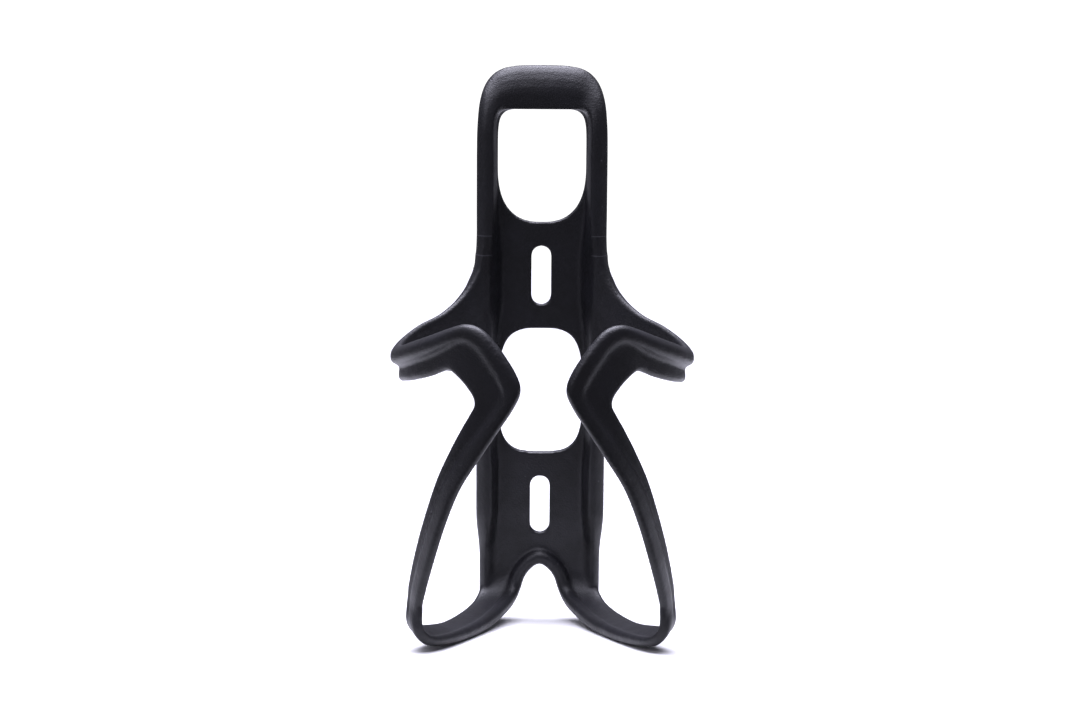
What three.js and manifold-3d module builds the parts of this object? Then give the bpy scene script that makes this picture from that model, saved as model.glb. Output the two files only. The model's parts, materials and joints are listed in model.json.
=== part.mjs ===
// Water bottle cage for a bicycle frame, in millimetres, +Z up.
//
// Cage frame: the flat front face of the back plate is y = 0, +Y points at the bicycle tube,
// and z = 0 is midway between the two bolt slots. The bottle stands in front, along +Z.
// The right-hand (+X) side is modelled, and the left-hand side is its mirror image.

import * as THREE from "three";
import { mergeVertices } from "three/addons/utils/BufferGeometryUtils.js";
import Module from "manifold-3d";

const wasm = await Module();
wasm.setup();

// ---- driving dimensions ----

const BOSS_SPACING = 64; // between the two frame bosses, a bicycle standard
const SLOT_WIDTH = 5.35; // clears an M5 screw
const SLOT_LENGTH = 16.2;

const PLATE_THICKNESS = 2.4;
const PLATE_HALF_WIDTH = 13;
const PLATE_TOP = 79.4;
const PLATE_CORNER = 5.5;
const PLATE_BOTTOM = -50.6;
const SEAM = 0.3; // gap that parts one region of the moulding from the next

// A window's pull is how far its curved ends still are from its top or bottom at full width.
const UPPER_WINDOW = {
  bottom: 46.5,
  top: 77.2,
  halfWidth: 11.9,
  topRadius: 3,
  bottomRise: 17,
  bottomPull: 3,
};
const LOWER_WINDOW = {
  bottom: -17.2,
  top: 17.4,
  halfWidth: 11.4,
  corner: 8.5,
  bottomPull: 1,
  topPull: 2,
};

// The notch between the toes, and the rounded rim that runs over it.
const NOTCH = { top: -48.7, radius: 5, halfWidth: 4.6, shoulder: 42.4 };
const ARCH_RIM = { radius: 1.6, standOff: 1.6, forward: 1.9, halfSpan: 50 };

const RAIL_OUTER = 17.55; // half the width over both rails
const RAIL_CREST = -6.1;
const RAIL_STRAIGHT_TOP = 66;
const RAIL_FOOT = { from: -33, to: -47, crest: -2.2, outer: 16.65 }; // where the rails run out
const LIP_TOP = 88.95;
const LIP_CREST = -3.4;
const LIP_HALF_LENGTH = PLATE_HALF_WIDTH - PLATE_CORNER;
const TOP_CORNER = RAIL_OUTER - LIP_HALF_LENGTH;

const BOTTLE_AXIS_Y = -39;
const LOOP_RADIUS = 36.8; // middle of the arm's wall, about the bottle's axis
const WALL = 2.2;
// How far the rounded bead along the inner edge stands out of the wall.
const BEAD = { arm: 1.1, strut: 0.45, toe: 0 };
const BEAD_WIDTH = 5;
const FLANGE_INSET = 1.1; // the arm's lower flange leans in to grip the bottle

// Stations along one arm, as [top edge angle, top edge z, bottom edge angle, bottom edge z].
// Angles are in degrees about the bottle's axis: 180 faces the back plate, 0 faces forward.
const ARM_STATIONS = [
  [154.5, 45, 154.5, -10],
  [153.4, 37.6, 152.5, -3],
  [150.6, 32.6, 149, 2.6],
  [144.5, 27.7, 142.5, 6.4],
  [134, 23.8, 133, 8.3],
  [120, 21.9, 120, 9.2],
  [105, 20.3, 105, 9.7],
  [90, 19.8, 90, 10.3],
  [76, 21, 77, 11.6],
  [62, 23.5, 63, 13.4],
  [49, 26.3, 50, 15.7],
  [37, 29.2, 41, 17.9],
  [29.5, 30.5, 37.6, 18.1],
  [22.5, 28.9, 34.1, 16.7],
  [16, 24.2, 30.5, 14.6],
  [10.3, 18.6, 27.8, 12.4],
  [8.6, 14.5, 27.2, 10.3],
  [11.3, 10.2, 29.3, 7.8],
  [17.2, 4.4, 33, 4],
  [25.2, -3.2, 38.4, -1.8],
  [34, -11.6, 45, -9.4],
  [41.4, -21.4, 51.6, -18.6],
  [48, -31.4, 58.5, -28.6],
  [53.8, -40.2, 64.4, -38],
  [56.9, -45.6, 66.5, -43.6],
];

// Stations on from there, round the foot and along the toe to the back plate:
// [inner edge x, y, z, outer edge x, y, z].
const TOE_STATIONS = [
  [31.1, -60.2, -50.2, 34, -54, -48.2],
  [28.9, -59, -53.6, 32.8, -50.6, -51.9],
  [25.3, -53.4, -55.6, 30.3, -44.4, -54],
  [19.6, -39.8, -58, 26.3, -33, -56.8],
  [14.1, -24.6, -59.6, 22.4, -20, -58.4],
  [9.9, -12.4, -59.7, 19.2, -9.6, -58.7],
  [8.2, -4.8, -58.2, 17.4, -3.6, -57.7],
  [7.4, -0.6, -54.6, 16.3, -0.4, -55.2],
  [7, 1.2, -50.9, 16, 1.2, -50.9],
];

// Where the loop is parted into regions, as station numbers.
const LOOP_CUTS = {
  wing_root: [0, 5],
  wing: [5, 9.2],
  front_arm: [9.2, 12.2],
  clasp: [12.2, 18],
  strut: [18, 24],
  foot: [24, 27.2],
  toe: [27.2, 33],
};
const STRUT_STARTS = [16, 20]; // the clasp's deep section gives way to the strut's between these
const TOE_STARTS = [23, 28];
const FLEX_SEAM = 0.45; // wider gap where a springing arm meets the fixed frame
const RINGS_PER_STATION = 5;

const PLASTIC = { color: 0x232327, roughness: 0.62, metalness: 0 };

// ---- solids ----

function solidFrom(geometry) {
  const bare = geometry.clone();
  bare.deleteAttribute("normal");
  bare.deleteAttribute("uv");
  const merged = mergeVertices(bare, 1e-4);
  return new wasm.Manifold(
    new wasm.Mesh({
      numProp: 3,
      vertProperties: merged.attributes.position.array,
      triVerts: new Uint32Array(merged.index.array),
    }),
  );
}

function geometryFrom(solid) {
  const mesh = solid.getMesh();
  const geometry = new THREE.BufferGeometry();
  geometry.setAttribute("position", new THREE.BufferAttribute(mesh.vertProperties, 3));
  geometry.setIndex(new THREE.BufferAttribute(mesh.triVerts, 1));
  geometry.computeVertexNormals();
  return geometry;
}

// A closed skin through rings of points, which all have the same number of corners.
function loft(rings) {
  const corners = rings[0].length;
  const points = rings.flat();
  const faces = [];
  for (let ring = 0; ring + 1 < rings.length; ring++) {
    for (let i = 0; i < corners; i++) {
      const next = (i + 1) % corners;
      const a = ring * corners + i;
      const b = ring * corners + next;
      faces.push(a, b, b + corners, a, b + corners, a + corners);
    }
  }
  capRing(rings[0], 0, true, faces);
  capRing(rings.at(-1), points.length - corners, false, faces);
  const geometry = new THREE.BufferGeometry().setFromPoints(points);
  geometry.setIndex(faces);
  return facingOut(geometry);
}

// Triangles over a flat ring, appended to faces.
function capRing(ring, first, flipped, faces) {
  const across = new THREE.Vector3();
  for (let i = 0; i < ring.length; i++) {
    across.add(ring[i].clone().cross(ring[(i + 1) % ring.length]));
  }
  across.normalize();
  const u = ring[1].clone().sub(ring[0]).projectOnPlane(across).normalize();
  const v = across.clone().cross(u);
  const flat = ring.map((point) => new THREE.Vector2(point.dot(u), point.dot(v)));
  for (const [a, b, c] of THREE.ShapeUtils.triangulateShape(flat, [])) {
    faces.push(first + a, first + (flipped ? c : b), first + (flipped ? b : c));
  }
}

// The same geometry, with its faces turned round if it encloses a negative volume.
function facingOut(geometry) {
  const position = geometry.attributes.position;
  const index = geometry.index.array;
  const corner = (i) => new THREE.Vector3().fromBufferAttribute(position, index[i]);
  let volume = 0;
  for (let i = 0; i < index.length; i += 3) {
    volume += corner(i).dot(corner(i + 1).cross(corner(i + 2)));
  }
  if (volume < 0) {
    turnFaces(index);
  }
  return geometry;
}

function turnFaces(index) {
  for (let i = 0; i < index.length; i += 3) {
    [index[i + 1], index[i + 2]] = [index[i + 2], index[i + 1]];
  }
}

function mirrored(geometry) {
  const copy = geometry.clone();
  copy.scale(-1, 1, 1);
  turnFaces(copy.index.array);
  copy.computeVertexNormals();
  return copy;
}

// A box between two corners.
function block(low, high) {
  const size = new THREE.Vector3().subVectors(high, low);
  const box = new THREE.BoxGeometry(size.x, size.y, size.z);
  return box.translate(low.x + size.x / 2, low.y + size.y / 2, low.z + size.z / 2);
}

// A plate with the outline drawn in x and z, between y = front and y = back.
function slab(shape, front, back, curveSegments = 10) {
  const depth = back - front;
  const plate = new THREE.ExtrudeGeometry(shape, { depth, bevelEnabled: false, curveSegments });
  return plate.rotateX(Math.PI / 2).translate(0, back, 0);
}

// ---- back plate ----

function slotOutline(centreZ) {
  const radius = SLOT_WIDTH / 2;
  const straight = SLOT_LENGTH / 2 - radius;
  const outline = new THREE.Path();
  outline.moveTo(radius, centreZ - straight);
  outline.lineTo(radius, centreZ + straight);
  outline.absarc(0, centreZ + straight, radius, 0, Math.PI, false);
  outline.lineTo(-radius, centreZ - straight);
  outline.absarc(0, centreZ - straight, radius, Math.PI, 2 * Math.PI, false);
  return outline;
}

// Straight top with small corners, sides that lean in, and a deep round bottom.
function upperWindowOutline() {
  const { bottom, top, halfWidth, topRadius, bottomRise, bottomPull } = UPPER_WINDOW;
  const shoulder = bottom + bottomRise;
  const low = bottom + bottomPull;
  const bend = halfWidth / 2;
  const outline = new THREE.Path();
  outline.moveTo(halfWidth, shoulder);
  outline.lineTo(halfWidth, top - topRadius);
  outline.absarc(halfWidth - topRadius, top - topRadius, topRadius, 0, Math.PI / 2, false);
  outline.lineTo(topRadius - halfWidth, top);
  outline.absarc(topRadius - halfWidth, top - topRadius, topRadius, Math.PI / 2, Math.PI, false);
  outline.lineTo(-halfWidth, shoulder);
  outline.bezierCurveTo(-halfWidth, low, -bend, bottom, 0, bottom);
  outline.bezierCurveTo(bend, bottom, halfWidth, low, halfWidth, shoulder);
  return outline;
}

function lowerWindowOutline() {
  const { bottom, top, halfWidth, corner, bottomPull, topPull } = LOWER_WINDOW;
  const high = top - topPull;
  const low = bottom + bottomPull;
  const topBend = halfWidth / 2;
  const bottomBend = halfWidth / 1.5;
  const outline = new THREE.Path();
  outline.moveTo(halfWidth, bottom + corner);
  outline.lineTo(halfWidth, top - corner);
  outline.bezierCurveTo(halfWidth, high, topBend, top, 0, top);
  outline.bezierCurveTo(-topBend, top, -halfWidth, high, -halfWidth, top - corner);
  outline.lineTo(-halfWidth, bottom + corner);
  outline.bezierCurveTo(-halfWidth, low, -bottomBend, bottom, 0, bottom);
  outline.bezierCurveTo(bottomBend, bottom, halfWidth, low, halfWidth, bottom + corner);
  return outline;
}

function backPlate() {
  const outline = new THREE.Shape();
  outline.moveTo(-PLATE_HALF_WIDTH, PLATE_BOTTOM);
  outline.lineTo(-NOTCH.halfWidth, PLATE_BOTTOM);
  const notchTurn = THREE.MathUtils.degToRad(NOTCH.shoulder);
  const notchCentre = NOTCH.top - NOTCH.radius;
  outline.absarc(0, notchCentre, NOTCH.radius, Math.PI - notchTurn, notchTurn, true);
  outline.lineTo(NOTCH.halfWidth, PLATE_BOTTOM);
  outline.lineTo(PLATE_HALF_WIDTH, PLATE_BOTTOM);
  const cornerX = PLATE_HALF_WIDTH - PLATE_CORNER;
  const cornerZ = PLATE_TOP - PLATE_CORNER;
  outline.lineTo(PLATE_HALF_WIDTH, cornerZ);
  outline.absarc(cornerX, cornerZ, PLATE_CORNER, 0, Math.PI / 2, false);
  outline.absarc(-cornerX, cornerZ, PLATE_CORNER, Math.PI / 2, Math.PI, false);
  outline.closePath();
  outline.holes.push(slotOutline(BOSS_SPACING / 2), slotOutline(-BOSS_SPACING / 2));
  outline.holes.push(upperWindowOutline(), lowerWindowOutline());
  return slab(outline, 0, PLATE_THICKNESS);
}

// ---- rails and top lip: one raised rim, from the foot of one rail over the top to the other ----

// One ring of the rim's section, between an inner and an outer point of the plate's outline.
// crest is the y of its foremost line, and its bulk leans towards the outer side.
// The profile gives the share of the way out, and y.
function rimRing(inner, outer, crest) {
  const profile = [
    [0, PLATE_THICKNESS],
    [0.8, PLATE_THICKNESS],
    [1, PLATE_THICKNESS - 1],
    [1, crest + 1.3],
    [0.92, crest + 0.3],
    [0.72, crest],
    [0.45, crest + 0.7],
    [0.22, crest * 0.55],
    [0.08, crest * 0.2],
    [0, 0],
  ];
  return profile.map(([across, y]) => {
    const x = THREE.MathUtils.lerp(inner.x, outer.x, across);
    const z = THREE.MathUtils.lerp(inner.y, outer.y, across);
    return new THREE.Vector3(x, y, z);
  });
}

function railRing(z) {
  const taper = THREE.MathUtils.smoothstep(-z, -RAIL_FOOT.from, -RAIL_FOOT.to);
  const outer = THREE.MathUtils.lerp(RAIL_OUTER, RAIL_FOOT.outer, taper);
  const crest = THREE.MathUtils.lerp(RAIL_CREST, RAIL_FOOT.crest, taper);
  const inner = PLATE_HALF_WIDTH + SEAM;
  return rimRing(new THREE.Vector2(inner, z), new THREE.Vector2(outer, z), crest);
}

function rail() {
  const rings = [];
  const cornerStart = LIP_TOP - TOP_CORNER;
  const footStep = 2;
  for (let z = PLATE_BOTTOM; z < RAIL_FOOT.from; z += footStep) {
    rings.push(railRing(z));
  }
  rings.push(railRing(RAIL_FOOT.from), railRing(RAIL_STRAIGHT_TOP));
  const innerRadius = PLATE_HALF_WIDTH + SEAM - LIP_HALF_LENGTH;
  const innerCentre = new THREE.Vector2(LIP_HALF_LENGTH, PLATE_TOP + SEAM - innerRadius);
  const outerCentre = new THREE.Vector2(RAIL_OUTER - TOP_CORNER, cornerStart);
  const steps = 10;
  for (let step = 0; step <= steps; step++) {
    const turn = (step / steps) * (Math.PI / 2);
    const towards = new THREE.Vector2(Math.cos(turn), Math.sin(turn));
    const inner = innerCentre.clone().addScaledVector(towards, innerRadius);
    const outer = outerCentre.clone().addScaledVector(towards, TOP_CORNER);
    const blend = THREE.MathUtils.smoothstep(step, 0, steps);
    const crest = THREE.MathUtils.lerp(RAIL_CREST, LIP_CREST, blend);
    rings.push(rimRing(inner, outer, crest));
  }
  return loft(rings);
}

function topLip() {
  const end = LIP_HALF_LENGTH - SEAM;
  const ringAt = (x) => rimRing(
    new THREE.Vector2(x, PLATE_TOP + SEAM),
    new THREE.Vector2(x, LIP_TOP),
    LIP_CREST,
  );
  return loft([ringAt(-end), ringAt(end)]);
}

// ---- the loop: wing root, wing, front arm, clasp, strut, foot and toe ----

function onLoop(angle, z) {
  const turn = THREE.MathUtils.degToRad(angle);
  const x = LOOP_RADIUS * Math.sin(turn);
  return new THREE.Vector3(x, BOTTLE_AXIS_Y - LOOP_RADIUS * Math.cos(turn), z);
}

const innerPoints = [
  ...ARM_STATIONS.map(([angle, z]) => onLoop(angle, z)),
  ...TOE_STATIONS.map(([x, y, z]) => new THREE.Vector3(x, y, z)),
];
const outerPoints = [
  ...ARM_STATIONS.map(([, , angle, z]) => onLoop(angle, z)),
  ...TOE_STATIONS.map(([, , , x, y, z]) => new THREE.Vector3(x, y, z)),
];
const innerEdge = new THREE.CatmullRomCurve3(innerPoints, false, "centripetal");
const outerEdge = new THREE.CatmullRomCurve3(outerPoints, false, "centripetal");
const LAST_STATION = innerPoints.length - 1;
const TANGENT_STEP = 1e-3; // share of the whole loop over which its direction is taken

// The loop's section, as [distance from the inner edge, distance out of the bottle's side].
// gripping is 1 on the arm and 0 on the strut and toe, and bead is the bead's height there.
function loopProfile(width, gripping, bead) {
  const half = WALL / 2;
  const lean = FLANGE_INSET * gripping;
  const neck = Math.min(BEAD_WIDTH, 0.55 * width);
  return [
    [0, 0.5 - half],
    [0, half - 0.8],
    [0.7, half + 0.7 * bead],
    [0.45 * neck, half + bead],
    [0.8 * neck, half + 0.6 * bead],
    [1.1 * neck, half - 0.3 * lean],
    [width - 1.4, half - lean],
    [width - 0.3, half - 0.4 - lean],
    [width, -lean],
    [width - 0.3, 0.4 - half - lean],
    [width - 1.4, -half - lean],
    [1.1 * neck, -half - 0.4 * lean],
    [0.7, -half],
  ];
}

function loopRing(station) {
  const t = station / LAST_STATION;
  const inner = innerEdge.getPoint(t);
  const outer = outerEdge.getPoint(t);
  const ahead = Math.min(1, t + TANGENT_STEP);
  const behind = Math.max(0, t - TANGENT_STEP);
  const along = innerEdge.getPoint(ahead).add(outerEdge.getPoint(ahead));
  along.sub(innerEdge.getPoint(behind)).sub(outerEdge.getPoint(behind));
  const across = outer.clone().sub(inner);
  const width = across.length();
  across.normalize();
  const out = along.clone().cross(across).normalize();
  const toes = THREE.MathUtils.smoothstep(station, ...TOE_STARTS);
  const strut = THREE.MathUtils.smoothstep(station, ...STRUT_STARTS);
  const bead = THREE.MathUtils.lerp(THREE.MathUtils.lerp(BEAD.arm, BEAD.strut, strut), BEAD.toe, toes);
  return loopProfile(width, 1 - strut, bead).map(([aside, off]) =>
    inner.clone().addScaledVector(across, aside).addScaledVector(out, off),
  );
}

// How many stations apart two rings are, to leave a gap of this many millimetres at a station.
function stationGap(station, gap) {
  const middle = (at) => innerEdge.getPoint(at).add(outerEdge.getPoint(at)).multiplyScalar(0.5);
  const stations = 0.1;
  const step = stations / LAST_STATION;
  const t = Math.min(station / LAST_STATION, 1 - step);
  return (stations * gap) / middle(t).distanceTo(middle(t + step));
}

function loopRegion([from, to], startGap, endGap) {
  const start = from + stationGap(from, startGap / 2);
  const end = to - stationGap(to, endGap / 2);
  const count = Math.ceil((end - start) * RINGS_PER_STATION);
  const rings = [];
  for (let i = 0; i <= count; i++) {
    rings.push(loopRing(THREE.MathUtils.lerp(start, end, i / count)));
  }
  return loft(rings);
}

// The gusset where the arm leaves the rail, trimmed to stand clear of the rail's outer side
// by a box that reaches well in front of the rail and well behind the plate.
function wingRoot() {
  const whole = loopRegion(LOOP_CUTS.wing_root, 0, FLEX_SEAM);
  const front = 4 * RAIL_CREST;
  const clearance = block(
    new THREE.Vector3(0, front, PLATE_BOTTOM),
    new THREE.Vector3(RAIL_OUTER + SEAM, -front, LIP_TOP),
  );
  return geometryFrom(solidFrom(whole).subtract(solidFrom(clearance)));
}

// ---- arch rim ----

// The middle line of the rim over the notch between the toes.
class ArchPath extends THREE.Curve {
  getPoint(t, target = new THREE.Vector3()) {
    const radius = NOTCH.radius + ARCH_RIM.standOff;
    const centreZ = NOTCH.top - NOTCH.radius;
    const lean = THREE.MathUtils.lerp(-ARCH_RIM.halfSpan, ARCH_RIM.halfSpan, t);
    const turn = THREE.MathUtils.degToRad(lean);
    const x = radius * Math.sin(turn);
    return target.set(x, -ARCH_RIM.forward, centreZ + radius * Math.cos(turn));
  }
}

function archRim() {
  const section = new THREE.Shape();
  section.absellipse(0, 0, ARCH_RIM.radius, ARCH_RIM.radius, 0, 2 * Math.PI, false, 0);
  const settings = { steps: 20, curveSegments: 8, extrudePath: new ArchPath() };
  return new THREE.ExtrudeGeometry(section, settings);
}

// ---- assembly ----

const cage = new THREE.Group();

function add(name, geometry) {
  const material = new THREE.MeshStandardMaterial(PLASTIC);
  const mesh = new THREE.Mesh(geometry, material);
  mesh.name = name;
  cage.add(mesh);
}

function addPair(name, geometry) {
  add("right_" + name, geometry);
  add("left_" + name, mirrored(geometry));
}

add("back_plate", backPlate());
add("top_lip", topLip());
add("arch_rim", archRim());
addPair("rail", rail());
addPair("wing_root", wingRoot());
addPair("wing", loopRegion(LOOP_CUTS.wing, FLEX_SEAM, SEAM));
addPair("front_arm", loopRegion(LOOP_CUTS.front_arm, SEAM, SEAM));
addPair("clasp", loopRegion(LOOP_CUTS.clasp, SEAM, SEAM));
addPair("strut", loopRegion(LOOP_CUTS.strut, SEAM, FLEX_SEAM));
addPair("foot", loopRegion(LOOP_CUTS.foot, FLEX_SEAM, SEAM));
addPair("toe", loopRegion(LOOP_CUTS.toe, SEAM, SEAM));

// The part stands on z = 0 with the middle of its box over the origin.
const box = new THREE.Box3().setFromObject(cage);
const middle = box.getCenter(new THREE.Vector3());
cage.position.set(0, -middle.y, -box.min.z);

const part = new THREE.Group();
part.add(cage);

export default part;
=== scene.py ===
"""Looks of the water bottle cage: one matt black moulding, on a pale table under a soft light.

The cage is one moulding, so its skin is made whole. Overlapping solids for the plate, the rim and the
two loops are fused, softened, and then parted where each springing arm leaves the fixed frame.
"""

import json
import logging
import math
from dataclasses import dataclass, field
from enum import Enum
from typing import Callable, Iterable, NamedTuple, Sequence

import bmesh
import bpy
from mathutils import Matrix, Vector


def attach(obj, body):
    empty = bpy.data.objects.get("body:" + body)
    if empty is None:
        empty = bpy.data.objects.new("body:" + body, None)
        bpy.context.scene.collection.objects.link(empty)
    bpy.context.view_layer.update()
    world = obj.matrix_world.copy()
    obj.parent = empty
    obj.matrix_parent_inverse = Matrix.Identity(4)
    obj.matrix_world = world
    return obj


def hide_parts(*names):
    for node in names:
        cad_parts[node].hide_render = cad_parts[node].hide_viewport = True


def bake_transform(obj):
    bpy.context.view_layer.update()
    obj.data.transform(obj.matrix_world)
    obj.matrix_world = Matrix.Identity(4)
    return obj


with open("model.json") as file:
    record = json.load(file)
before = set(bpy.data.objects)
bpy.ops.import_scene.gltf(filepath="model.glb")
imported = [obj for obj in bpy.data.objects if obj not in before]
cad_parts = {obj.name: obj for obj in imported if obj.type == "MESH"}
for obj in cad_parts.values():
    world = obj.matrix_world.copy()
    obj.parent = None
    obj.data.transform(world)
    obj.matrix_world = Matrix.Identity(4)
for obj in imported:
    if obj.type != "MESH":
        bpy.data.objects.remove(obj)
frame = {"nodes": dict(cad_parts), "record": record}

LOG = logging.getLogger("bottle_cage")
MM = 0.001
Ring = list[Vector]


# ---- the cage's own frame ----


@dataclass(frozen=True)
class Datum:
    """The cage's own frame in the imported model: millimetres, from midway between the two bolt slots.

    x runs to the right, y from the plate's front face towards the bicycle tube, and z up.
    """

    origin: Vector

    @classmethod
    def from_frame(cls) -> "Datum":
        """Finds the frame from the two screw seats, which lie on the plate's front face.

        Returns:
            The datum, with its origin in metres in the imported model.
        """
        seats = [
            Vector(mount["pos_m"])
            for mount in frame["record"]["mounts"]
            if mount["name"].endswith("screw_seat")
        ]
        middle = sum(seats, Vector()) / len(seats)
        return cls(Vector((0, middle.y, middle.z)))

    def matrix(self) -> Matrix:
        """The transform from the cage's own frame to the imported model."""
        return Matrix.Translation(self.origin) @ Matrix.Scale(MM, 4)

    def place(self, x: float, y: float, z: float) -> Vector:
        """A point of the cage's own frame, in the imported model."""
        return self.matrix() @ Vector((x, y, z))


class Side(Enum):
    """Which half of the cage a piece is on, with the sign of its x."""

    RIGHT = 1
    LEFT = -1


# ---- small tools ----


def smoothstep(value: float, low: float, high: float) -> float:
    """A soft step from 0 at low to 1 at high."""
    share = min(1.0, max(0.0, (value - low) / (high - low)))
    return share * share * (3 - 2 * share)


def mix(start: float, end: float, share: float) -> float:
    """The number that lies a share of the way from start to end."""
    return start + (end - start) * share


def through(points: Sequence[Vector], at: float, closed: bool = False) -> Vector:
    """A point on a smooth curve through some points.

    Args:
        points: The points that the curve passes through.
        at: The place on the curve, counted in points from the first.
        closed: Whether the curve runs on from its last point to its first.

    Returns:
        The point on the curve.
    """
    count = len(points)
    if closed:
        base = math.floor(at)
        near = [points[(base + step) % count] for step in (-1, 0, 1, 2)]
    else:
        base = min(max(math.floor(at), 0), count - 2)
        near = [points[min(max(base + step, 0), count - 1)] for step in (-1, 0, 1, 2)]
    before, start, end, after = near
    t = at - base
    leave = (end - before) / 2
    arrive = (after - start) / 2
    turn = 2 * start - 2 * end + leave + arrive
    bend = 3 * end - 3 * start - 2 * leave - arrive
    return ((turn * t + bend) * t + leave) * t + start


def sweep(bm: bmesh.types.BMesh, rings: Sequence[Ring]) -> None:
    """Extrudes a ring from station to station and closes both ends.

    Args:
        bm: The mesh that takes the new solid.
        rings: The section at each station, each with the same number of corners.
    """
    corners = [bm.verts.new(point) for point in rings[0]]
    bm.faces.new(corners)
    for ring in rings[1:]:
        edges = [
            bm.edges.get((corners[i - 1], corners[i])) for i in range(len(corners))
        ]
        made = bmesh.ops.extrude_edge_only(bm, edges=edges)["geom"]
        fresh = {item for item in made if isinstance(item, bmesh.types.BMVert)}
        onward = []
        for corner in corners:
            linked = (edge.other_vert(corner) for edge in corner.link_edges)
            onward.append(next(vert for vert in linked if vert in fresh))
        for vert, point in zip(onward, ring):
            vert.co = point
        corners = onward
    bm.faces.new(corners)


def node(
    tree: bpy.types.NodeTree, kind: str, inputs: dict[str | int, object] | None = None, **settings: object
) -> bpy.types.Node:
    """Adds one shader node.

    Args:
        tree: The tree that takes it.
        kind: Its type, such as "ShaderNodeTexNoise".
        inputs: For each input, by name or number, its value or the socket that feeds it.
        settings: The node's own options.

    Returns:
        The node.
    """
    made = tree.nodes.new(kind)
    for key, value in settings.items():
        setattr(made, key, value)
    for key, value in (inputs or {}).items():
        if isinstance(value, bpy.types.NodeSocket):
            tree.links.new(value, made.inputs[key])
        else:
            made.inputs[key].default_value = value
    return made


def bake_modifiers(piece: bpy.types.Object) -> None:
    """Replaces a piece's mesh by what its modifiers make of it."""
    graph = bpy.context.evaluated_depsgraph_get()
    old = piece.data
    piece.data = bpy.data.meshes.new_from_object(piece.evaluated_get(graph))
    piece.modifiers.clear()
    bpy.data.meshes.remove(old)


# ---- back plate ----


class Window(NamedTuple):
    """A window through the plate, whose upper and lower halves are rounded by their own amounts.

    A power says how square a half is, from 2 for an ellipse, and the halves meet at the middle's height.
    """

    half_width: float
    top: float
    bottom: float
    top_power: float
    bottom_power: float
    middle: float


@dataclass
class BackPlate:
    """The flat plate with its two bolt slots and two windows, down to the notch between the toes."""

    thickness: float = 2.4
    half_width: float = 14.0
    top: float = 80.0
    bottom: float = -52.0
    slot_spacing: float = 64.0
    slot_width: float = 5.35
    slot_length: float = 16.2
    notch_top: float = -47.6
    notch_half_width: float = 5.6
    upper_window: Window = Window(11.9, 77.2, 46.5, 6.5, 2.55, 62.0)
    lower_window: Window = Window(11.4, 17.4, -17.2, 3.4, 3.5, -1.0)

    def slot(self, centre_z: float) -> list[tuple[float, float]]:
        """The outline of one bolt slot, as x and z."""
        radius = self.slot_width / 2
        straight = self.slot_length / 2 - radius
        steps = 10
        outline = []
        for end in (1, -1):
            for step in range(steps + 1):
                turn = math.pi * step / steps
                x = end * radius * math.cos(turn)
                outline.append((x, centre_z + end * (straight + radius * math.sin(turn))))
        return outline

    @staticmethod
    def window(form: Window) -> list[tuple[float, float]]:
        """The outline of one window.

        Args:
            form: The window's size and how round it is.

        Returns:
            The outline, as x and z.
        """
        outline = []
        steps = 96
        for step in range(steps):
            turn = 2 * math.pi * step / steps
            across, up = math.cos(turn), math.sin(turn)
            power = form.top_power if up > 0 else form.bottom_power
            reach = form.top - form.middle if up > 0 else form.middle - form.bottom
            x = form.half_width * math.copysign(abs(across) ** (2 / power), across)
            outline.append((x, form.middle + reach * math.copysign(abs(up) ** (2 / power), up)))
        return outline

    def openings(self) -> list[list[tuple[float, float]]]:
        """Every hole through the plate."""
        return [
            self.slot(self.slot_spacing / 2),
            self.slot(-self.slot_spacing / 2),
            self.window(self.upper_window),
            self.window(self.lower_window),
        ]

    def outline(self) -> list[tuple[float, float]]:
        """The plate's outer edge, with the notch in its foot."""
        steps = 12
        edge = [(-self.half_width, self.bottom), (-self.half_width, self.top), (self.half_width, self.top)]
        edge.append((self.half_width, self.bottom))
        rise = self.notch_top - self.bottom
        for step in range(steps + 1):
            turn = math.pi * step / steps
            edge.append((self.notch_half_width * math.cos(turn), self.bottom + rise * math.sin(turn)))
        return edge

    def build(self, bm: bmesh.types.BMesh) -> None:
        """Adds the pierced plate to a mesh."""
        rim = []
        for loop in [self.outline(), *self.openings()]:
            verts = [bm.verts.new((x, 0, z)) for x, z in loop]
            rim += [bm.edges.new((verts[i - 1], verts[i])) for i in range(len(verts))]
        filled = bmesh.ops.triangle_fill(bm, edges=rim, use_beauty=True, normal=(0, -1, 0))["geom"]
        faces = [item for item in filled if isinstance(item, bmesh.types.BMFace)]
        raised = bmesh.ops.extrude_face_region(bm, geom=faces)["geom"]
        moved = [item for item in raised if isinstance(item, bmesh.types.BMVert)]
        bmesh.ops.translate(bm, verts=moved, vec=(0, self.thickness, 0))


# ---- rim: the two rails and the lip ----


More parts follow.
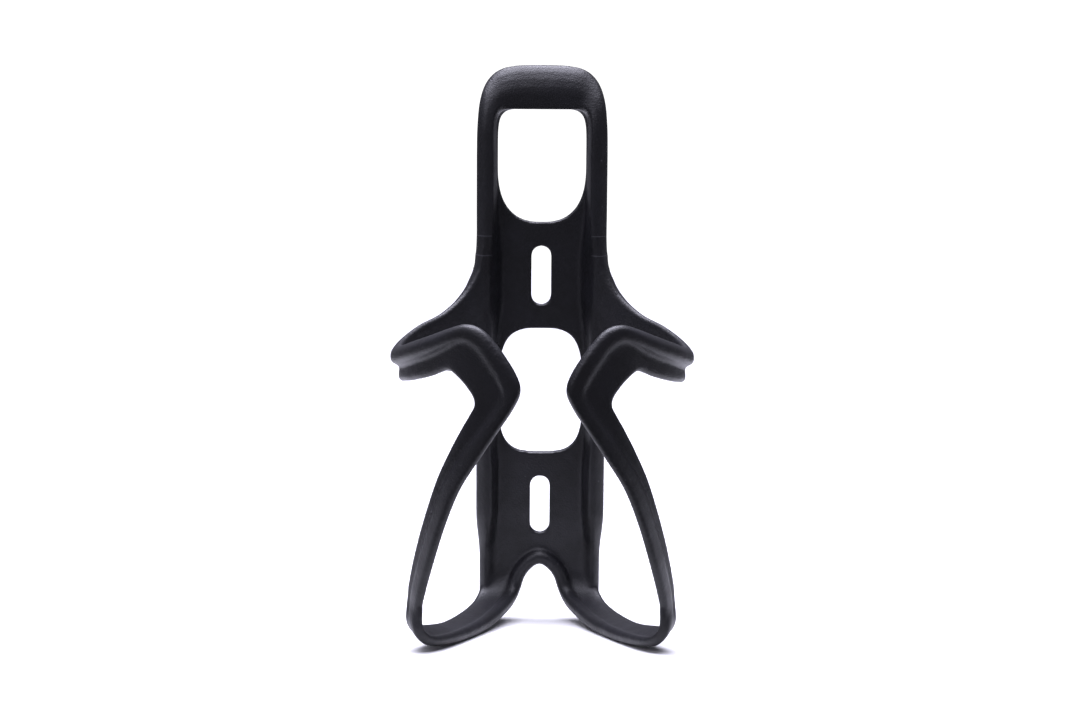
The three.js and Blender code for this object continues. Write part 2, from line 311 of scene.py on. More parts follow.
@dataclass
class Rim:
    """The raised edge of the plate: up one rail, round the corner and along the lip, mirrored.

    Both paths give x and z, from the rail's upper part round to the middle of the lip. A section runs
    straight from one path to the other.
    """

    outer: float = 17.55
    foot_outer: float = 16.65
    bottom: float = -58.0
    back: float = 2.4
    rail_crest: float = 6.1
    foot_crest: float = 2.2
    lip_crest: float = 3.4
    rail_rounding: float = 0.45
    lip_rounding: float = 0.62
    past_window_end: float = 1.12
    rail_step: float = 1.2
    flat: float = 0.58
    lower_flat: float = 0.3
    outer_path: Sequence[tuple[float, float]] = (
        (17.55, 66.0),
        (17.5, 70.5),
        (17.3, 74.6),
        (16.95, 78.3),
        (16.3, 81.3),
        (15.4, 83.6),
        (14.15, 85.5),
        (12.4, 87.1),
        (9.9, 88.2),
        (6.0, 88.8),
        (0.0, 88.95),
    )
    inner_path: Sequence[tuple[float, float]] = (
        (12.1, 66.0),
        (12.1, 69.5),
        (12.1, 72.6),
        (11.95, 74.6),
        (11.5, 75.9),
        (10.8, 76.7),
        (9.8, 77.15),
        (8.6, 77.3),
        (7.0, 77.3),
        (4.5, 77.3),
        (0.0, 77.3),
    )

    @staticmethod
    def shoulder(step: int) -> tuple[float, float]:
        """The rounding of the outer front edge, as shares in and forward, at steps from 0 to 5."""
        turn = math.pi / 2 * step / 5
        return 1 - math.cos(turn) ** 1.3, math.sin(turn) ** 1.3

    def rail_profile(self, crest: float, flat: float, end: float = 1.0) -> list[tuple[float, float]]:
        """The rail's section, as share of the way in from the outer edge and y.

        Args:
            crest: How far the rail stands forward.
            flat: How much of its slope stays flat before it drops to the plate.
            end: Where its slope would meet the plate, beyond 1 if the section ends above the plate.

        Returns:
            The section's corners, from the back's inner end round the front.
        """
        nose = self.rail_rounding
        section = [(1.0, self.back - 0.4), (0.17, self.back), (0.05, self.back - 0.25), (0, self.back - 0.9)]
        section.append((0, mix(self.back - 1.2, 2.0 - crest, 0.5)))
        for step in range(6):
            aside, forward = self.shoulder(step)
            section.append((nose * aside, 1.9 - crest - 1.9 * forward))
        for step in range(1, 9):
            share = step / 8
            fall = crest * (1 - smoothstep(share, flat, end)) if step < 8 else -0.4
            section.append((mix(nose, 1.0, share), -fall))
        return section

    def lip_profile(self) -> list[tuple[float, float]]:
        """The lip's section, in the same way and with as many corners."""
        section = [(1.0, self.back - 0.4), (0.14, self.back), (0.06, self.back - 0.15)]
        section += [(0.01, self.back - 0.5), (0, self.back - 1.0)]
        top = self.back - 1.2
        for step in range(6):
            down, forward = self.shoulder(step)
            section.append((self.lip_rounding * down, top - (self.lip_crest + top) * forward))
        for step in range(1, 9):
            share = step / 8
            section.append((mix(self.lip_rounding, 1.0, share), -self.lip_crest + 0.15 * share))
        return section

    def rail_ring(self, z: float) -> Ring:
        """The rail's section at a height."""
        foot = smoothstep(-z, 33, 47)
        past_window = smoothstep(z, 40, 50)
        beside_window = smoothstep(abs(z), 22, 14)
        root = smoothstep(z, 19, 26) * smoothstep(z, 46, 36)
        outer = mix(self.outer, self.foot_outer, foot)
        width = 6.4 - 0.8 * past_window - 0.5 * beside_window - 1.6 * foot + 1.2 * root
        flat = mix(self.lower_flat, self.flat, past_window)
        profile = self.rail_profile(
            mix(self.rail_crest, self.foot_crest, foot),
            mix(flat, -0.2, max(root, foot)),
            mix(1.0, self.past_window_end, past_window),
        )
        return [Vector((outer - width * share, y, z)) for share, y in profile]

    def rings(self) -> list[Ring]:
        """Every station, from the foot of the right rail to the middle of the lip."""
        stations = []
        z = self.bottom
        while z < self.outer_path[0][1]:
            stations.append(self.rail_ring(z))
            z += self.rail_step
        outside = [Vector((x, 0, z)) for x, z in self.outer_path]
        inside = [Vector((x, 0, z)) for x, z in self.inner_path]
        rail = self.rail_profile(self.rail_crest, self.flat, self.past_window_end)
        lip = self.lip_profile()
        steps = 4
        last = (len(outside) - 1) * steps
        for step in range(last + 1):
            far = through(outside, step / steps)
            near = through(inside, step / steps)
            turned = smoothstep(step / last, 0.1, 0.7)
            ring = []
            for (rail_share, rail_y), (lip_share, lip_y) in zip(rail, lip):
                point = far.lerp(near, mix(rail_share, lip_share, turned))
                point.y = mix(rail_y, lip_y, turned)
                ring.append(point)
            stations.append(ring)
        return stations

    def build(self, bm: bmesh.types.BMesh) -> None:
        """Adds the whole rim to a mesh, its left half mirrored from its right."""
        half = self.rings()
        other = [[Vector((-point.x, point.y, point.z)) for point in ring] for ring in half[-2::-1]]
        sweep(bm, half + other)


# ---- arm loops ----


class Station(NamedTuple):
    """One place along a loop: its inner and its outer edge."""

    inner: Vector
    outer: Vector


class LoopForm(NamedTuple):
    """The form of a loop's section: a rolled bead along its inner edge and a flatter flange beyond it.

    The bead and the flange are how far out their faces lie, and the roll is the bead's rounding. The neck
    is how far the bead reaches, the groove how deep the line at its foot is, and inside moves the inner face.
    """

    bead: float
    flange: float
    roll: float
    neck: float
    groove: float
    inside: float

    def towards(self, other: "LoopForm", share: float) -> "LoopForm":
        """The form that lies a share of the way to another."""
        return LoopForm(*(mix(mine, its, share) for mine, its in zip(self, other)))


@dataclass
class ArmLoop:
    """One loop of the cage: wing, elbow, strut, foot and toe, from the rail back to the plate's foot.

    The arm lies on a cylinder about the bottle's axis. An arm row gives the angle about that axis, with
    180 towards the plate, and the height, for its upper edge and then for its lower one.
    """

    axis_y: float = -39.0
    radius: float = 36.8
    wall: float = 2.2
    corners: int = 48
    rings_per_station: int = 7
    arm_rows: Sequence[tuple[float, float, float, float]] = (
        (154.5, 45.0, 154.5, -10.0),
        (153.4, 37.6, 152.5, -3.0),
        (150.6, 32.6, 149.0, 2.6),
        (144.5, 27.7, 142.5, 6.4),
        (134.0, 23.8, 133.0, 8.3),
        (120.0, 21.9, 120.0, 9.2),
        (105.0, 20.3, 105.0, 9.7),
        (90.0, 19.8, 90.0, 10.3),
        (76.0, 21.0, 77.0, 11.6),
        (62.0, 23.5, 63.0, 13.4),
        (49.0, 26.3, 50.0, 15.7),
        (37.0, 29.2, 41.0, 17.9),
        (29.5, 30.5, 37.6, 18.1),
        (22.5, 28.9, 34.1, 16.7),
        (16.0, 24.2, 30.5, 14.6),
        (10.3, 18.6, 27.8, 12.4),
        (8.6, 14.5, 27.2, 10.3),
        (11.3, 10.2, 29.3, 7.8),
        (17.2, 4.4, 33.0, 4.0),
        (25.2, -3.2, 38.4, -1.8),
        (34.0, -11.6, 45.0, -9.4),
        (41.4, -21.4, 51.6, -18.6),
        (48.0, -31.4, 58.5, -28.6),
        (53.8, -40.2, 64.4, -38.0),
        (56.9, -45.6, 66.5, -43.6),
    )
    toe_rows: Sequence[tuple[float, float, float, float, float, float]] = (
        (31.1, -60.2, -50.2, 34.0, -54.0, -48.2),
        (28.9, -59.0, -53.6, 32.8, -50.6, -51.9),
        (25.3, -53.4, -55.6, 30.3, -44.4, -54.0),
        (19.6, -39.8, -58.0, 26.3, -33.0, -56.8),
        (14.1, -24.6, -59.6, 22.4, -20.0, -58.4),
        (9.9, -12.4, -59.7, 19.2, -9.6, -58.7),
        (8.2, -4.8, -58.2, 17.4, -3.6, -57.7),
        (7.4, -0.6, -54.6, 16.3, -0.4, -55.2),
        (7.0, 1.2, -50.9, 16.0, 1.2, -50.9),
        (7.0, 1.2, -45.0, 16.0, 1.2, -45.0),
    )
    stations: list[Station] = field(default_factory=list)

    def __post_init__(self) -> None:
        """Works out the two edges at every station."""
        for inner_turn, inner_z, outer_turn, outer_z in self.arm_rows:
            self.stations.append(
                Station(self.on_arm(inner_turn, inner_z), self.on_arm(outer_turn, outer_z))
            )
        for row in self.toe_rows:
            self.stations.append(Station(Vector(row[:3]), Vector(row[3:])))

    def on_arm(self, angle: float, z: float) -> Vector:
        """A point on the arm's cylinder, from its angle in degrees and its height."""
        turn = math.radians(angle)
        x = self.radius * math.sin(turn)
        return Vector((x, self.axis_y - self.radius * math.cos(turn), z))

    def edges_at(self, at: float) -> Station:
        """The two edges at a place between stations."""
        inner = through([station.inner for station in self.stations], at)
        return Station(inner, through([station.outer for station in self.stations], at))

    def profile(self, width: float, form: "LoopForm") -> list[Vector]:
        """The loop's section, as distance from the inner edge and distance out from the bottle.

        Args:
            width: Distance between the two edges.
            form: The section's form at this place.

        Returns:
            The section's corners, in order.
        """
        bead, flange, roll = form.bead, form.flange, form.roll
        drop = bead - flange
        neck = min(form.neck, 0.62 * width)
        inside = form.inside - self.wall / 2
        low = inside + 0.6 * min(0.0, flange - self.wall / 2)
        shape = [
            (0.35, inside + 0.25),
            (0.0, mix(inside, bead, 0.35)),
            (0.22 * roll, bead - 0.62 * roll),
            (0.75 * roll, bead - 0.12 * roll),
            (0.55 * neck, bead),
            (0.8 * neck, bead - 0.12 * drop),
            (0.93 * neck, bead - 0.6 * drop),
            (1.03 * neck, flange - form.groove + 0.05 * drop),
            (1.14 * neck, flange - form.groove),
            (mix(1.2 * neck, width - 1.0, 0.5), flange),
            (width - 0.9, flange),
            (width - 0.2, flange - 0.45),
            (width, mix(flange, low, 0.6)),
            (width - 0.4, low + 0.2),
            (width - 1.5, low),
            (neck, mix(inside, low, 0.4)),
            (1.3, inside),
        ]
        points = [Vector((aside, off, 0)) for aside, off in shape]
        count = len(points)
        return [through(points, i * count / self.corners, closed=True) for i in range(self.corners)]

    def form(self, at: float) -> "LoopForm":
        """The section's form at a place: it changes softly from part to part of the loop."""
        root = smoothstep(at, 4.5, 0.5)
        wing = LoopForm(2.15 + 2.2 * root, 0.0, 2.2, 5.3, 0.12, 0.8 * root)
        pad = wing.towards(LoopForm(1.9, 1.0, 1.3, 4.9, 0.0, 0.0), smoothstep(at, 10, 12.5))
        strut = pad.towards(LoopForm(1.55, 0.95, 1.1, 4.7, 0.3, 0.0), smoothstep(at, 16, 19))
        return strut.towards(LoopForm(1.1, 1.0, 0.9, 3.5, 0.0, 0.0), smoothstep(at, 22.5, 25))

    def ring(self, at: float) -> Ring:
        """The loop's section at a place between stations, set across the loop's run."""
        here = self.edges_at(at)
        ahead = self.edges_at(min(at + 0.02, len(self.stations) - 1))
        behind = self.edges_at(max(at - 0.02, 0))
        along = ahead.inner + ahead.outer - behind.inner - behind.outer
        across = here.outer - here.inner
        width = across.length
        across.normalize()
        out = along.cross(across).normalized()
        return [here.inner + across * point.x + out * point.y for point in self.profile(width, self.form(at))]

    def build(self, bm: bmesh.types.BMesh, side: Side) -> None:
        """Adds one loop to a mesh."""
        count = (len(self.stations) - 1) * self.rings_per_station
        rings = [self.ring(i / self.rings_per_station) for i in range(count + 1)]
        for ring in rings:
            for point in ring:
                point.x *= side.value
        sweep(bm, rings)


# ---- toe rim ----


@dataclass
class ToeRim:
    """The rounded rim that runs along one toe, over the notch and out along the other toe."""

    radius: float = 1.95
    foot_radius: float = 0.95
    corners: int = 16
    points: Sequence[tuple[float, float, float]] = (
        (0.0, -1.0, -46.7),
        (3.2, -1.0, -48.3),
        (5.6, -1.0, -51.4),
        (6.8, -1.6, -54.9),
        (8.2, -4.4, -57.5),
        (10.6, -11.4, -58.5),
        (15.0, -24.6, -58.8),
        (20.5, -40.2, -57.2),
        (25.6, -53.0, -54.8),
        (28.9, -58.0, -52.8),
        (30.8, -59.2, -49.4),
        (30.9, -58.6, -44.4),
    )

    def build(self, bm: bmesh.types.BMesh) -> None:
        """Adds the rim to a mesh, its left half mirrored from its right."""
        half = [Vector(point) for point in self.points]
        path = [Vector((-point.x, point.y, point.z)) for point in half[:0:-1]] + half
        rings = []
        steps = 6
        last = len(path) - 1
        for i in range(last * steps + 1):
            at = i / steps
            centre = through(path, at)
            run = through(path, min(at + 0.02, last)) - through(path, max(at - 0.02, 0))
            turn = run.to_track_quat("Z", "Y")
            towards_foot = abs(at - last / 2) / (last / 2)
            radius = mix(self.radius, self.foot_radius, smoothstep(towards_foot, 0.5, 0.9))
            ring = []
            for corner in range(self.corners):
                angle = 2 * math.pi * corner / self.corners
                ring.append(centre + turn @ Vector((math.cos(angle), math.sin(angle), 0)) * radius)
            rings.append(ring)
        sweep(bm, rings)


# ---- the moulding ----


@dataclass(frozen=True)
class Seam:
    """A flat cut through the loop, inside a box that keeps it off the rest of the skin.

    Everything is in the cage's own frame, for the right-hand side.
    """

    point: Vector
    normal: Vector
    low: Vector
    high: Vector

    def mirrored(self, side: Side) -> "Seam":
        """The same cut on one side."""
        if side is Side.RIGHT:
            return self
        flip = Vector((-1, 1, 1))
        low, high = self.low * flip, self.high * flip
        low.x, high.x = high.x, low.x
        return Seam(self.point * flip, self.normal * flip, low, high)

    def cut(self, bm: bmesh.types.BMesh) -> None:
        """Cuts the loop and leaves its two sides apart, with open ends."""
        inside = [
            face
            for face in bm.faces
            if all(self.low[i] < face.calc_center_median()[i] < self.high[i] for i in range(3))
        ]
        geom = {item for face in inside for item in (face, *face.edges, *face.verts)}
        made = bmesh.ops.bisect_plane(
            bm, geom=list(geom), dist=1e-5, plane_co=self.point, plane_no=self.normal
        )["geom_cut"]
        edges = [item for item in made if isinstance(item, bmesh.types.BMEdge)]
        bmesh.ops.split_edges(bm, edges=edges)


@dataclass(frozen=True)
class Flex:
    """Where an arm bends: the hinge line, the way ahead of it, and how far ahead the bend is complete."""

    hinge: Vector = Vector((31.87, -20.6, 15.55))
    ahead: Vector = Vector((0, -0.859, 0.511))
    reach: float = 25.0

    def ends(self, side: Side) -> tuple[Vector, Vector]:
        """The points where the bend starts and where it is complete, in the cage's own frame."""
        start = Vector((self.hinge.x * side.value, self.hinge.y, self.hinge.z))
        return start, start + self.ahead * self.reach


@dataclass
class Moulding:
    """Fuses the solids into one skin and parts the two springing arms from the fixed frame."""

    datum: Datum
    voxel: float = 0.45
    softening: int = 4
    melting: int = 24
    flex: Flex = Flex()
    wing_seam: Seam = Seam(
        Vector((28.2, -15.3, 15)), Vector((-0.643, 0.766, 0)), Vector((18, -30, 2)), Vector((40, -6, 34))
    )
    foot_seam: Seam = Seam(
        Vector((33.0, -58.0, -44.5)), Vector((0, 0, 1)), Vector((24, -75, -50)), Vector((42, -42, -39))
    )

    def solids(self) -> list[Callable[[bmesh.types.BMesh], None]]:
        """The builders of the overlapping solids."""
        loop = ArmLoop()
        return [
            BackPlate().build,
            Rim().build,
            lambda bm: loop.build(bm, Side.RIGHT),
            lambda bm: loop.build(bm, Side.LEFT),
            ToeRim().build,
        ]

    @staticmethod
    def melt_weight(point: Vector) -> float:
        """How strongly a place is melted: where the loops leave the rails, and round the notch."""
        aside = abs(point.x)
        root = smoothstep(aside, 10.5, 12.5) * smoothstep(aside, 22, 17)
        root *= smoothstep(point.z, 12, 20) * smoothstep(point.z, 50, 44)
        arch = smoothstep(aside, 17, 13) * smoothstep(point.y, -9, -5) * smoothstep(point.y, 2.2, 0.8)
        arch *= smoothstep(point.z, -41, -45) * smoothstep(point.z, -62, -58)
        return max(root * smoothstep(point.y, 2.2, 0.5), arch)

    def skin(self) -> bpy.types.Object:
        """Fuses the solids and softens every edge and crease.

        Returns:
            The whole cage as one closed skin, in the cage's own millimetres.
        """
        whole = bmesh.new()
        for build in self.solids():
            solid = bmesh.new()
            build(solid)
            bmesh.ops.recalc_face_normals(solid, faces=solid.faces)
            mesh = bpy.data.meshes.new("solid")
            solid.to_mesh(mesh)
            solid.free()
            whole.from_mesh(mesh)
            bpy.data.meshes.remove(mesh)
        mesh = bpy.data.meshes.new("cage")
        whole.to_mesh(mesh)
        whole.free()
        piece = bpy.data.objects.new("cage", mesh)
        bpy.context.scene.collection.objects.link(piece)
        fuse = piece.modifiers.new("fuse", "REMESH")
        fuse.mode = "VOXEL"
        fuse.voxel_size = self.voxel
        bake_modifiers(piece)
        group = piece.vertex_groups.new(name="melt")
        for vertex in piece.data.vertices:
            weight = self.melt_weight(vertex.co)
            if weight > 0:
                group.add([vertex.index], weight, "REPLACE")
        melt = piece.modifiers.new("melt", "SMOOTH")
        melt.vertex_group = group.name
        melt.factor = 0.5
        melt.iterations = self.melting
        soften = piece.modifiers.new("soften", "SMOOTH")
        soften.factor = 0.5
        soften.iterations = self.softening
        bake_modifiers(piece)
        return piece

    def parted(self, whole: bpy.types.Object) -> dict[str, list[int]]:
        """Cuts the skin at the seams.

        Args:
            whole: The whole skin; it is left cut.

        Returns:
            For "frame" and for each side's name, the faces that belong to it.
        """
        bm = bmesh.new()
        bm.from_mesh(whole.data)
        for side in Side:
            self.wing_seam.mirrored(side).cut(bm)
            self.foot_seam.mirrored(side).cut(bm)
        bm.faces.ensure_lookup_table()
        bm.faces.index_update()
        shells: dict[str, list[int]] = {}
        left = set(bm.faces)
        while left:
            shell = []
            queue = [left.pop()]
            while queue:
                face = queue.pop()
                shell.append(face)
                near = {other for edge in face.edges for other in edge.link_faces if other in left}
                left -= near
                queue.extend(near)
            middle = sum(face.calc_center_median().x for face in shell) / len(shell)
            owner = "frame" if abs(middle) < 8 else Side(math.copysign(1, middle)).name
            shells.setdefault(owner, []).extend(face.index for face in shell)
        bm.to_mesh(whole.data)
        bm.free()
        return shells

    def piece(self, name: str, whole: bpy.types.Object, faces: Iterable[int]) -> bpy.types.Object:
        """Makes one closed piece of some of the skin's faces, with flat caps on its cut ends.

        Args:
            name: The piece's name.
            whole: The cut skin.
            faces: The faces to keep.

        Returns:
            The piece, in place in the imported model.
        """
        bm = bmesh.new()
        bm.from_mesh(whole.data)
        bm.faces.ensure_lookup_table()
        kept = set(faces)
        gone = [face for face in bm.faces if face.index not in kept]
        bmesh.ops.delete(bm, geom=gone, context="FACES")
        rim = [edge for edge in bm.edges if edge.is_boundary]
        for face in bm.faces:
            face.smooth = True
        caps = bmesh.ops.holes_fill(bm, edges=rim, sides=0)["faces"]
        for cap in caps:
            cap.smooth = False
        for edge in rim:
            edge.smooth = False
        bmesh.ops.triangulate(bm, faces=caps)
        bmesh.ops.transform(bm, matrix=self.datum.matrix(), verts=bm.verts)
        mesh = bpy.data.meshes.new(name)
        bm.to_mesh(mesh)
        bm.free()
        made = bpy.data.objects.new(name, mesh)
        bpy.context.scene.collection.objects.link(made)
        return made

    def build(self) -> list[bpy.types.Object]:
        """Makes the finished pieces.

        Returns:
            The frame's piece, which rides on its body, and the two arms' pieces.
        """
        whole = self.skin()
        shells = self.parted(whole)
        fixed = self.piece("cage_frame", whole, shells["frame"])
        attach(fixed, "frame")
        springing = ("_wing", "_front_arm", "_clasp", "_strut")
        bending = [name for name in frame["nodes"] if name.endswith(springing)]
        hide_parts(*(name for name in frame["nodes"] if name not in bending))
        made = [fixed]
        for side in Side:
            prefix = side.name.lower()
            arm = self.piece(prefix + "_spring_arm", whole, shells[side.name])
            start, end = (self.datum.place(*point) for point in self.flex.ends(side))
            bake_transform(arm)
            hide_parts(*(name for name in bending if name.startswith(prefix)))
            made.append(arm)
        bpy.data.objects.remove(whole)
        return made


# ---- finishes ----


def srgb(code: str) -> tuple[float, float, float, float]:
    """Turns a colour such as "#1c1c20" into linear values."""
    shares = [int(code[i : i + 2], 16) / 255 for i in (1, 3, 5)]
    linear = [s / 12.92 if s <= 0.04045 else ((s + 0.055) / 1.055) ** 2.4 for s in shares]
    return (linear[0], linear[1], linear[2], 1.0)


@dataclass(frozen=True)
class MouldedNylon:
    """Fibre-filled nylon, injection moulded and left matt: near black, with a fine dry grain."""

    name: str = "moulded_fibre_filled_nylon"
    colour: str = "#0f0f12"
    faded: str = "#18181c"
    # A light grey for the dust specks, and for the witness lines as a painted highlight.
    dust_and_highlight: str = "#38383c"
    grain_mm: float = 0.45
    ripple_mm: float = 3.5
    patch_mm: float = 9.0
    speck_mm: float = 5.0
    witness_heights: tuple[float, float] = (43.5, 38.2)
    witness_inner_end: float = 13.4
    witness_half_width: float = 0.13

    @staticmethod
    def noise(
        tree: bpy.types.NodeTree, place: bpy.types.NodeSocket, size_mm: float, detail: float
    ) -> bpy.types.Node:
        """Adds a noise whose patches are about as large as the size given."""
        scale = 1 / (size_mm * MM)
        return node(tree, "ShaderNodeTexNoise", {"Vector": place, "Scale": scale, "Detail": detail})

    @staticmethod
    def ramp(
        tree: bpy.types.NodeTree,
        value: bpy.types.NodeSocket,
        start: tuple[float, float],
        end: tuple[float, float],
    ) -> bpy.types.NodeSocket:
        """Turns the range between two inputs into the range between two outputs.

        Args:
            tree: The tree that takes the node.
            value: The value to turn.
            start: The input at the start of the range and its output.
            end: The input at the end of the range and its output.

        Returns:
            The result's socket.
        """
        inputs = {"Value": value, "From Min": start[0], "From Max": end[0]}
        inputs.update({"To Min": start[1], "To Max": end[1]})
        return node(tree, "ShaderNodeMapRange", inputs).outputs["Result"]

    @staticmethod
    def combine(tree: bpy.types.NodeTree, kind: str, *values: object) -> bpy.types.NodeSocket:
        """Adds one sum, comparison or other step over values or sockets."""
        return node(tree, "ShaderNodeMath", dict(enumerate(values)), operation=kind).outputs[0]

    def witness_highlight(
        self, tree: bpy.types.NodeTree, place: bpy.types.NodeSocket, datum: Datum
    ) -> bpy.types.NodeSocket:
        """The fine lines that the tool's inserts leave across each rail, drawn lighter than the rail: a
        painted highlight for the light their small steps catch.

        Args:
            tree: The tree that takes the nodes.
            place: Object coordinates.
            datum: The cage's own frame.

        Returns:
            A socket that is 1 on a line and 0 elsewhere.
        """
        parts = node(tree, "ShaderNodeSeparateXYZ", {"Vector": place}).outputs
        aside = self.combine(tree, "ABSOLUTE", parts["X"])
        on_rail = self.combine(tree, "GREATER_THAN", aside, datum.place(self.witness_inner_end, 0, 0).x)
        lines = []
        for height in self.witness_heights:
            off = self.combine(tree, "SUBTRACT", parts["Z"], datum.place(0, 0, height).z)
            distance = self.combine(tree, "ABSOLUTE", off)
            lines.append(self.combine(tree, "LESS_THAN", distance, self.witness_half_width * MM))
        return self.combine(tree, "MULTIPLY", on_rail, self.combine(tree, "ADD", *lines))

    def specks(self, tree: bpy.types.NodeTree, place: bpy.types.NodeSocket) -> bpy.types.NodeSocket:
        """A few tiny light specks of dust and nicks, drawn as large as they need to be to be seen."""
        cells = node(tree, "ShaderNodeTexVoronoi", {"Vector": place, "Scale": 1 / (self.speck_mm * MM)})
        near = self.combine(tree, "LESS_THAN", cells.outputs["Distance"], 0.045)
        chosen = node(tree, "ShaderNodeSeparateColor", {"Color": cells.outputs["Color"]}).outputs[0]
        return self.combine(tree, "MULTIPLY", near, self.combine(tree, "LESS_THAN", chosen, 0.35))

    def material(self, datum: Datum) -> bpy.types.Material:
        """Builds the material.

        Args:
            datum: The cage's own frame.

        Returns:
            The material, read on Object coordinates.
        """
        made = bpy.data.materials.new(self.name)
        made.use_nodes = True
        tree = made.node_tree
        shader = tree.nodes["Principled BSDF"]
        place = node(tree, "ShaderNodeTexCoord").outputs["Object"]
        grain = self.noise(tree, place, self.grain_mm, 2.0).outputs["Fac"]
        ripple = self.noise(tree, place, self.ripple_mm, 1.0).outputs["Fac"]
        patch = self.noise(tree, place, self.patch_mm, 3.0).outputs["Fac"]
        marks = self.combine(tree, "MAXIMUM", self.witness_highlight(tree, place, datum), self.specks(tree, place))

        # Skin of resin over the fibres: nearly black, a little greyer in patches where it has been rubbed.
        faded = self.ramp(tree, patch, (0.38, 0.0), (0.66, 1.0))
        shades = {0: faded, 6: srgb(self.colour), 7: srgb(self.faded)}
        body = node(tree, "ShaderNodeMix", shades, data_type="RGBA")
        # Light marks in one light grey: the dust specks are real, and the witness lines' lighter colour is a
        # painted highlight.
        dusted_and_highlit = {0: marks, 6: body.outputs[2], 7: srgb(self.dust_and_highlight)}
        marked = node(tree, "ShaderNodeMix", dusted_and_highlit, data_type="RGBA")
        tree.links.new(marked.outputs[2], shader.inputs["Base Color"])

        # Dry spark-eroded tool texture: broad dull highlights that break up slightly from place to place.
        gloss = self.ramp(tree, patch, (0.3, 0.5), (0.7, 0.4))
        tree.links.new(gloss, shader.inputs["Roughness"])
        shader.inputs["IOR"].default_value = 1.52
        shader.inputs["Specular IOR Level"].default_value = 0.32

        # Fibres under the skin give a fine grain, and shrinkage a slow ripple.
        fine = node(tree, "ShaderNodeBump", {"Strength": 1.0, "Distance": 0.1 * MM, "Height": grain})
        slow = node(
            tree,
            "ShaderNodeBump",
            {"Strength": 0.7, "Distance": 0.16 * MM, "Height": ripple, "Normal": fine.outputs["Normal"]},
        )
        tree.links.new(slow.outputs["Normal"], shader.inputs["Normal"])
        return made


@dataclass(frozen=True)
class PalePaper:
    """Smooth pale background paper, lit until it reads as white, which bounces light up under the cage."""

    name: str = "pale_paper_sweep"
    colour: str = "#cccccc"
    roughness: float = 0.9

    def material(self) -> bpy.types.Material:
        """Builds the material."""
        made = bpy.data.materials.new(self.name)
        made.use_nodes = True
        shader = made.node_tree.nodes["Principled BSDF"]
        shader.inputs["Base Color"].default_value = srgb(self.colour)
        shader.inputs["Roughness"].default_value = self.roughness
        shader.inputs["Specular IOR Level"].default_value = 0.0
        return made


# ---- studio ----


COOL = (0.86, 0.85, 1.0)


@dataclass(frozen=True)
class Softbox:
    """A rectangular light that points at the cage: its place, size in metres and power in watts."""

    name: str
    place: tuple[float, float, float]
    width: float
    depth: float
    power: float

    def build(self, target: Vector) -> None:
        """Adds the light, turned to the target."""
        data = bpy.data.lights.new(self.name, "AREA")
        data.shape = "RECTANGLE"
        data.size = self.width
        data.size_y = self.depth
        data.energy = self.power
        data.color = COOL
        light = bpy.data.objects.new(self.name, data)
        bpy.context.scene.collection.objects.link(light)
        light.location = self.place
        light.rotation_euler = (target - light.location).to_track_quat("-Z", "Y").to_euler()


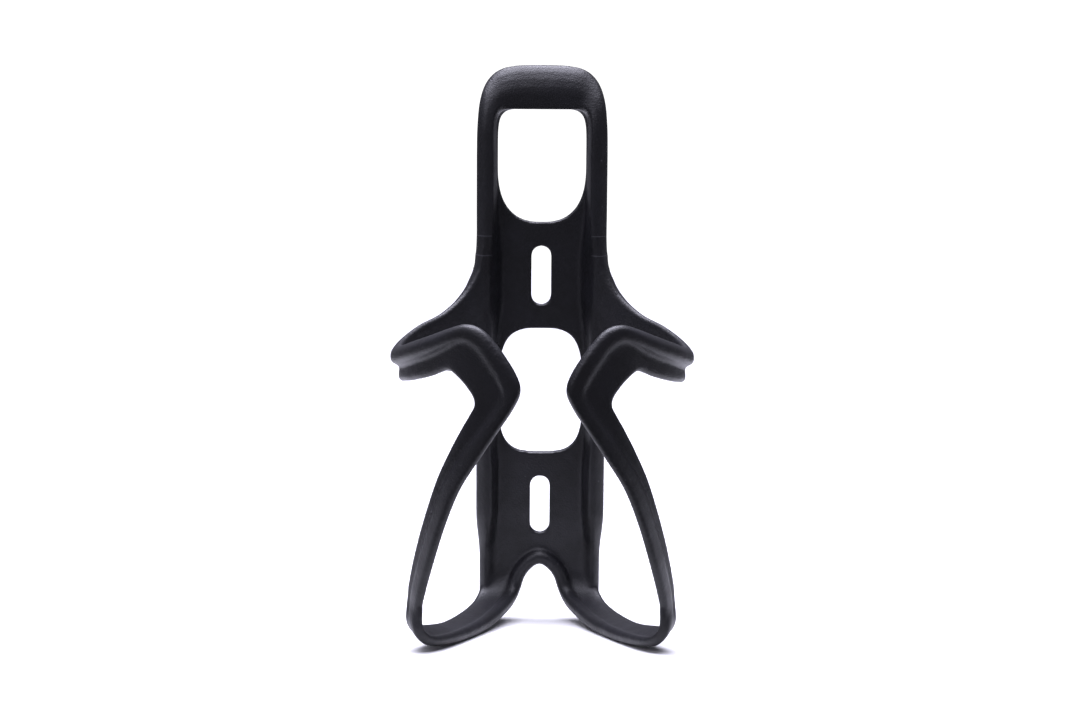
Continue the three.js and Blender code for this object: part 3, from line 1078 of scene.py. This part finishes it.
@dataclass
class Studio:
    """The pale table, the soft lights and the camera."""

    datum: Datum
    distance: float = 650.0
    elevation: float = 10.3
    sideways: float = -0.53
    roll: float = 0.39
    aim: tuple[float, float, float] = (-0.2, 0.0, 8.66)
    lens: float = 79.15
    lean: float = 7.5
    table_front: float = -0.048
    table_back: float = 9.0
    table_front_half_width: float = 0.2
    table_back_half_width: float = 1.5
    surround: float = 0.24
    backdrop: float = 1.2
    daylight_spread: float = 70.0
    daylight: float = 7.2
    softboxes: Sequence[Softbox] = (
        Softbox("back_overhead", (-0.15, 0.3, 0.95), 0.9, 0.5, 14.0),
        Softbox("front_left", (-0.8, -0.9, 0.95), 0.7, 0.7, 6.5),
    )

    def camera(self) -> None:
        """Makes the camera, looking down a little on the cage from in front."""
        data = bpy.data.cameras.new("camera")
        data.lens = self.lens
        data.sensor_width = 36.0
        data.clip_start = 0.01
        data.clip_end = 20.0
        eye = bpy.data.objects.new("camera", data)
        bpy.context.scene.collection.objects.link(eye)
        rise, swing = math.radians(self.elevation), math.radians(self.sideways)
        level = math.cos(rise)
        back = Vector((level * math.sin(swing), -level * math.cos(swing), math.sin(rise)))
        place = Vector(self.aim) + back * self.distance
        facing = (-back).to_track_quat("-Z", "Y").to_matrix()
        eye.location = self.datum.place(*place)
        eye.rotation_euler = (facing @ Matrix.Rotation(math.radians(self.roll), 3, "Z")).to_euler()
        bpy.context.scene.camera = eye

    def surroundings(self) -> None:
        """Makes the room: dim where it lights the cage, and white where the camera looks past the table."""
        world = bpy.data.worlds.new("studio")
        bpy.context.scene.world = world
        world.use_nodes = True
        tree = world.node_tree
        tree.nodes.clear()
        dim = node(tree, "ShaderNodeBackground", {"Color": (*COOL, 1.0), "Strength": self.surround})
        white = node(tree, "ShaderNodeBackground", {"Color": (1.0, 1.0, 1.0, 1.0), "Strength": self.backdrop})
        seen = node(tree, "ShaderNodeLightPath").outputs["Is Camera Ray"]
        both = node(tree, "ShaderNodeMixShader", {0: seen, 1: dim.outputs[0], 2: white.outputs[0]})
        node(tree, "ShaderNodeOutputWorld", {"Surface": both.outputs[0]})

    def ceiling(self) -> None:
        """Lights the whole room evenly from straight above the table, through a wide diffuser."""
        data = bpy.data.lights.new("ceiling", "SUN")
        data.energy = self.daylight
        data.angle = math.radians(self.daylight_spread)
        data.color = COOL
        light = bpy.data.objects.new("ceiling", data)
        bpy.context.scene.collection.objects.link(light)
        light.rotation_euler = (math.radians(-self.lean), 0, 0)

    def table(self, pieces: Sequence[bpy.types.Object]) -> None:
        """Lays the table under the cage, which leans a little forward on its toes.

        Args:
            pieces: The cage's pieces, which the table just touches.
        """
        turn = Matrix.Rotation(math.radians(-self.lean), 3, "X")
        up = turn @ Vector((0, 0, 1))
        lowest = min(vertex.co.dot(up) for piece in pieces for vertex in piece.data.vertices)
        bm = bmesh.new()
        bmesh.ops.create_grid(bm, x_segments=1, y_segments=1, size=1.0)
        for vertex in bm.verts:
            ahead = vertex.co.y < 0
            half_width = self.table_front_half_width if ahead else self.table_back_half_width
            vertex.co.x *= half_width
            vertex.co.y = self.table_front if ahead else self.table_back
            vertex.co.z = lowest
        bmesh.ops.rotate(bm, matrix=turn, cent=(0, 0, 0), verts=bm.verts)
        mesh = bpy.data.meshes.new("table")
        bm.to_mesh(mesh)
        bm.free()
        mesh.materials.append(PalePaper().material())
        top = bpy.data.objects.new("table", mesh)
        bpy.context.scene.collection.objects.link(top)

    def build(self, pieces: Sequence[bpy.types.Object]) -> None:
        """Sets the whole studio up round the cage's pieces."""
        self.camera()
        self.surroundings()
        self.ceiling()
        self.table(pieces)
        for softbox in self.softboxes:
            softbox.build(self.datum.place(0, -30, 0))
        bpy.context.scene.view_settings.view_transform = "Standard"


def main() -> None:
    logging.basicConfig(level=logging.INFO, format="%(name)s: %(message)s")
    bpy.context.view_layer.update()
    datum = Datum.from_frame()
    nylon = MouldedNylon().material(datum)
    pieces = Moulding(datum).build()
    for piece in pieces:
        piece.data.materials.clear()
        piece.data.materials.append(nylon)
        LOG.info("%s: %d faces", piece.name, len(piece.data.polygons))
    Studio(datum).build(pieces)


if __name__ == "__main__":
    main()
